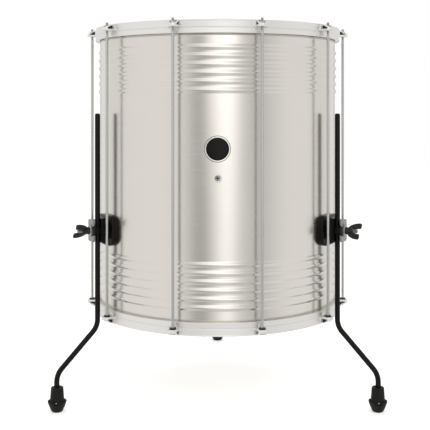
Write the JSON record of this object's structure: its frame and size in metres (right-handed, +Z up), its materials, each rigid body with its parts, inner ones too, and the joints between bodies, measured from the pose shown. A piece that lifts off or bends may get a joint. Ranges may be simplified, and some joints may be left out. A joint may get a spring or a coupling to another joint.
{
  "type": "surdo drum",
  "caption": "Deep aluminium bass drum for samba, with heads held by counterhoops and full-length tension rods, standing on bent legs that slide in wing-nut clamps.",
  "frame": {"origin": "on the floor under the middle of the box round the whole drum; the drum's own axis is at y = -0.0543 m", "axes": "+Z up along the drum's axis, towards the batter head; -Y is the front, where the badge is"},
  "size_m": [0.666, 0.6444, 0.7643],
  "materials": {
    "satin_aluminium": "satin",
    "plated_steel": "bright plated",
    "head_film": "white coated film",
    "badge_black": "gloss",
    "black_paint": "satin black",
    "foot_rubber": "matt",
    "zinc": "zinc plated",
    "black_plastic": "moulded black nylon"
  },
  "bodies": {
    "drum": {"shell": "satin_aluminium", "batter_head": "head_film", "resonant_head": "head_film", "flesh_hoop_top": "satin_aluminium", "flesh_hoop_bottom": "satin_aluminium", "counterhoop_top": "plated_steel", "counterhoop_bottom": "plated_steel", "tension_rod_01": "plated_steel", "tension_rod_02": "plated_steel", "tension_rod_03": "plated_steel", "tension_rod_04": "plated_steel", "tension_rod_05": "plated_steel", "tension_rod_06": "plated_steel", "tension_rod_07": "plated_steel", "tension_rod_08": "plated_steel", "tension_rod_09": "plated_steel", "tension_rod_10": "plated_steel", "badge": "badge_black", "vent_grommet": "plated_steel", "bracket_gasket_left": "foot_rubber", "leg_bracket_left": "black_paint", "backing_plate_left": "zinc", "stud_nut_left": "zinc", "clamp_stud_left": "zinc", "bracket_gasket_right": "foot_rubber", "leg_bracket_right": "black_paint", "backing_plate_right": "zinc", "stud_nut_right": "zinc", "clamp_stud_right": "zinc", "bracket_gasket_rear": "foot_rubber", "leg_bracket_rear": "black_paint", "backing_plate_rear": "zinc", "stud_nut_rear": "zinc", "clamp_stud_rear": "zinc"},
    "leg_left": {"leg_left": "black_paint", "foot_left": "foot_rubber"},
    "clamp_left": {"clamp_plate_left": "plated_steel", "washer_left": "plated_steel"},
    "wing_left": {"wing_nut_left": "black_plastic"},
    "leg_right": {"leg_right": "black_paint", "foot_right": "foot_rubber"},
    "clamp_right": {"clamp_plate_right": "plated_steel", "washer_right": "plated_steel"},
    "wing_right": {"wing_nut_right": "black_plastic"},
    "leg_rear": {"leg_rear": "black_paint", "foot_rear": "foot_rubber"},
    "clamp_rear": {"clamp_plate_rear": "plated_steel", "washer_rear": "plated_steel"},
    "wing_rear": {"wing_nut_rear": "black_plastic"},
    "tuning_01": {"tuning_nut_01": "plated_steel"},
    "tuning_02": {"tuning_nut_02": "plated_steel"},
    "tuning_03": {"tuning_nut_03": "plated_steel"},
    "tuning_04": {"tuning_nut_04": "plated_steel"},
    "tuning_05": {"tuning_nut_05": "plated_steel"},
    "tuning_06": {"tuning_nut_06": "plated_steel"},
    "tuning_07": {"tuning_nut_07": "plated_steel"},
    "tuning_08": {"tuning_nut_08": "plated_steel"},
    "tuning_09": {"tuning_nut_09": "plated_steel"},
    "tuning_10": {"tuning_nut_10": "plated_steel"}
  },
  "joints": [
    {"name": "leg_slide_left", "type": "slide", "parent": "drum", "child": "leg_left", "axis": [0, 0, 1], "range_m": [-0.2, 0.15]},
    {"name": "clamp_slide_left", "type": "slide", "parent": "drum", "child": "clamp_left", "axis": [-0.8788, -0.4772, 0], "range_m": [0, 0.00313]},
    {"name": "wing_turn_left", "type": "hinge", "parent": "clamp_left", "child": "wing_left", "pos_m": [-0.26365, -0.19745, 0.35], "axis": [-0.8788, -0.4772, 0], "range_deg": [-60, 1080]},
    {"name": "leg_slide_right", "type": "slide", "parent": "drum", "child": "leg_right", "axis": [0, 0, 1], "range_m": [-0.2, 0.15]},
    {"name": "clamp_slide_right", "type": "slide", "parent": "drum", "child": "clamp_right", "axis": [0.8788, -0.4772, 0], "range_m": [0, 0.00313]},
    {"name": "wing_turn_right", "type": "hinge", "parent": "clamp_right", "child": "wing_right", "pos_m": [0.26365, -0.19745, 0.35], "axis": [0.8788, -0.4772, 0], "range_deg": [-60, 1080]},
    {"name": "leg_slide_rear", "type": "slide", "parent": "drum", "child": "leg_rear", "axis": [0, 0, 1], "range_m": [-0.2, 0.15]},
    {"name": "clamp_slide_rear", "type": "slide", "parent": "drum", "child": "clamp_rear", "axis": [0, 1, 0], "range_m": [0, 0.00313]},
    {"name": "wing_turn_rear", "type": "hinge", "parent": "clamp_rear", "child": "wing_rear", "pos_m": [0, 0.2457, 0.35], "axis": [0, 1, 0], "range_deg": [-60, 1080]},
    {"name": "tuning_turn_01", "type": "hinge", "parent": "drum", "child": "tuning_01", "pos_m": [-0.0834, 0.20239, 0.7546], "axis": [0, 0, 1], "continuous": true},
    {"name": "tuning_turn_02", "type": "hinge", "parent": "drum", "child": "tuning_02", "pos_m": [-0.21835, 0.10434, 0.7546], "axis": [0, 0, 1], "continuous": true},
    {"name": "tuning_turn_03", "type": "hinge", "parent": "drum", "child": "tuning_03", "pos_m": [-0.2699, -0.0543, 0.7546], "axis": [0, 0, 1], "continuous": true},
    {"name": "tuning_turn_04", "type": "hinge", "parent": "drum", "child": "tuning_04", "pos_m": [-0.21835, -0.21294, 0.7546], "axis": [0, 0, 1], "continuous": true},
    {"name": "tuning_turn_05", "type": "hinge", "parent": "drum", "child": "tuning_05", "pos_m": [-0.0834, -0.31099, 0.7546], "axis": [0, 0, 1], "continuous": true},
    {"name": "tuning_turn_06", "type": "hinge", "parent": "drum", "child": "tuning_06", "pos_m": [0.0834, -0.31099, 0.7546], "axis": [0, 0, 1], "continuous": true},
    {"name": "tuning_turn_07", "type": "hinge", "parent": "drum", "child": "tuning_07", "pos_m": [0.21835, -0.21294, 0.7546], "axis": [0, 0, 1], "continuous": true},
    {"name": "tuning_turn_08", "type": "hinge", "parent": "drum", "child": "tuning_08", "pos_m": [0.2699, -0.0543, 0.7546], "axis": [0, 0, 1], "continuous": true},
    {"name": "tuning_turn_09", "type": "hinge", "parent": "drum", "child": "tuning_09", "pos_m": [0.21835, 0.10434, 0.7546], "axis": [0, 0, 1], "continuous": true},
    {"name": "tuning_turn_10", "type": "hinge", "parent": "drum", "child": "tuning_10", "pos_m": [0.0834, 0.20239, 0.7546], "axis": [0, 0, 1], "continuous": true}
  ],
  "couplings": [
    {"joint": "wing_turn_left", "follows": "clamp_slide_left", "rad_per_m": 5026.5},
    {"joint": "wing_turn_right", "follows": "clamp_slide_right", "rad_per_m": 5026.5},
    {"joint": "wing_turn_rear", "follows": "clamp_slide_rear", "rad_per_m": 5026.5}
  ]
}
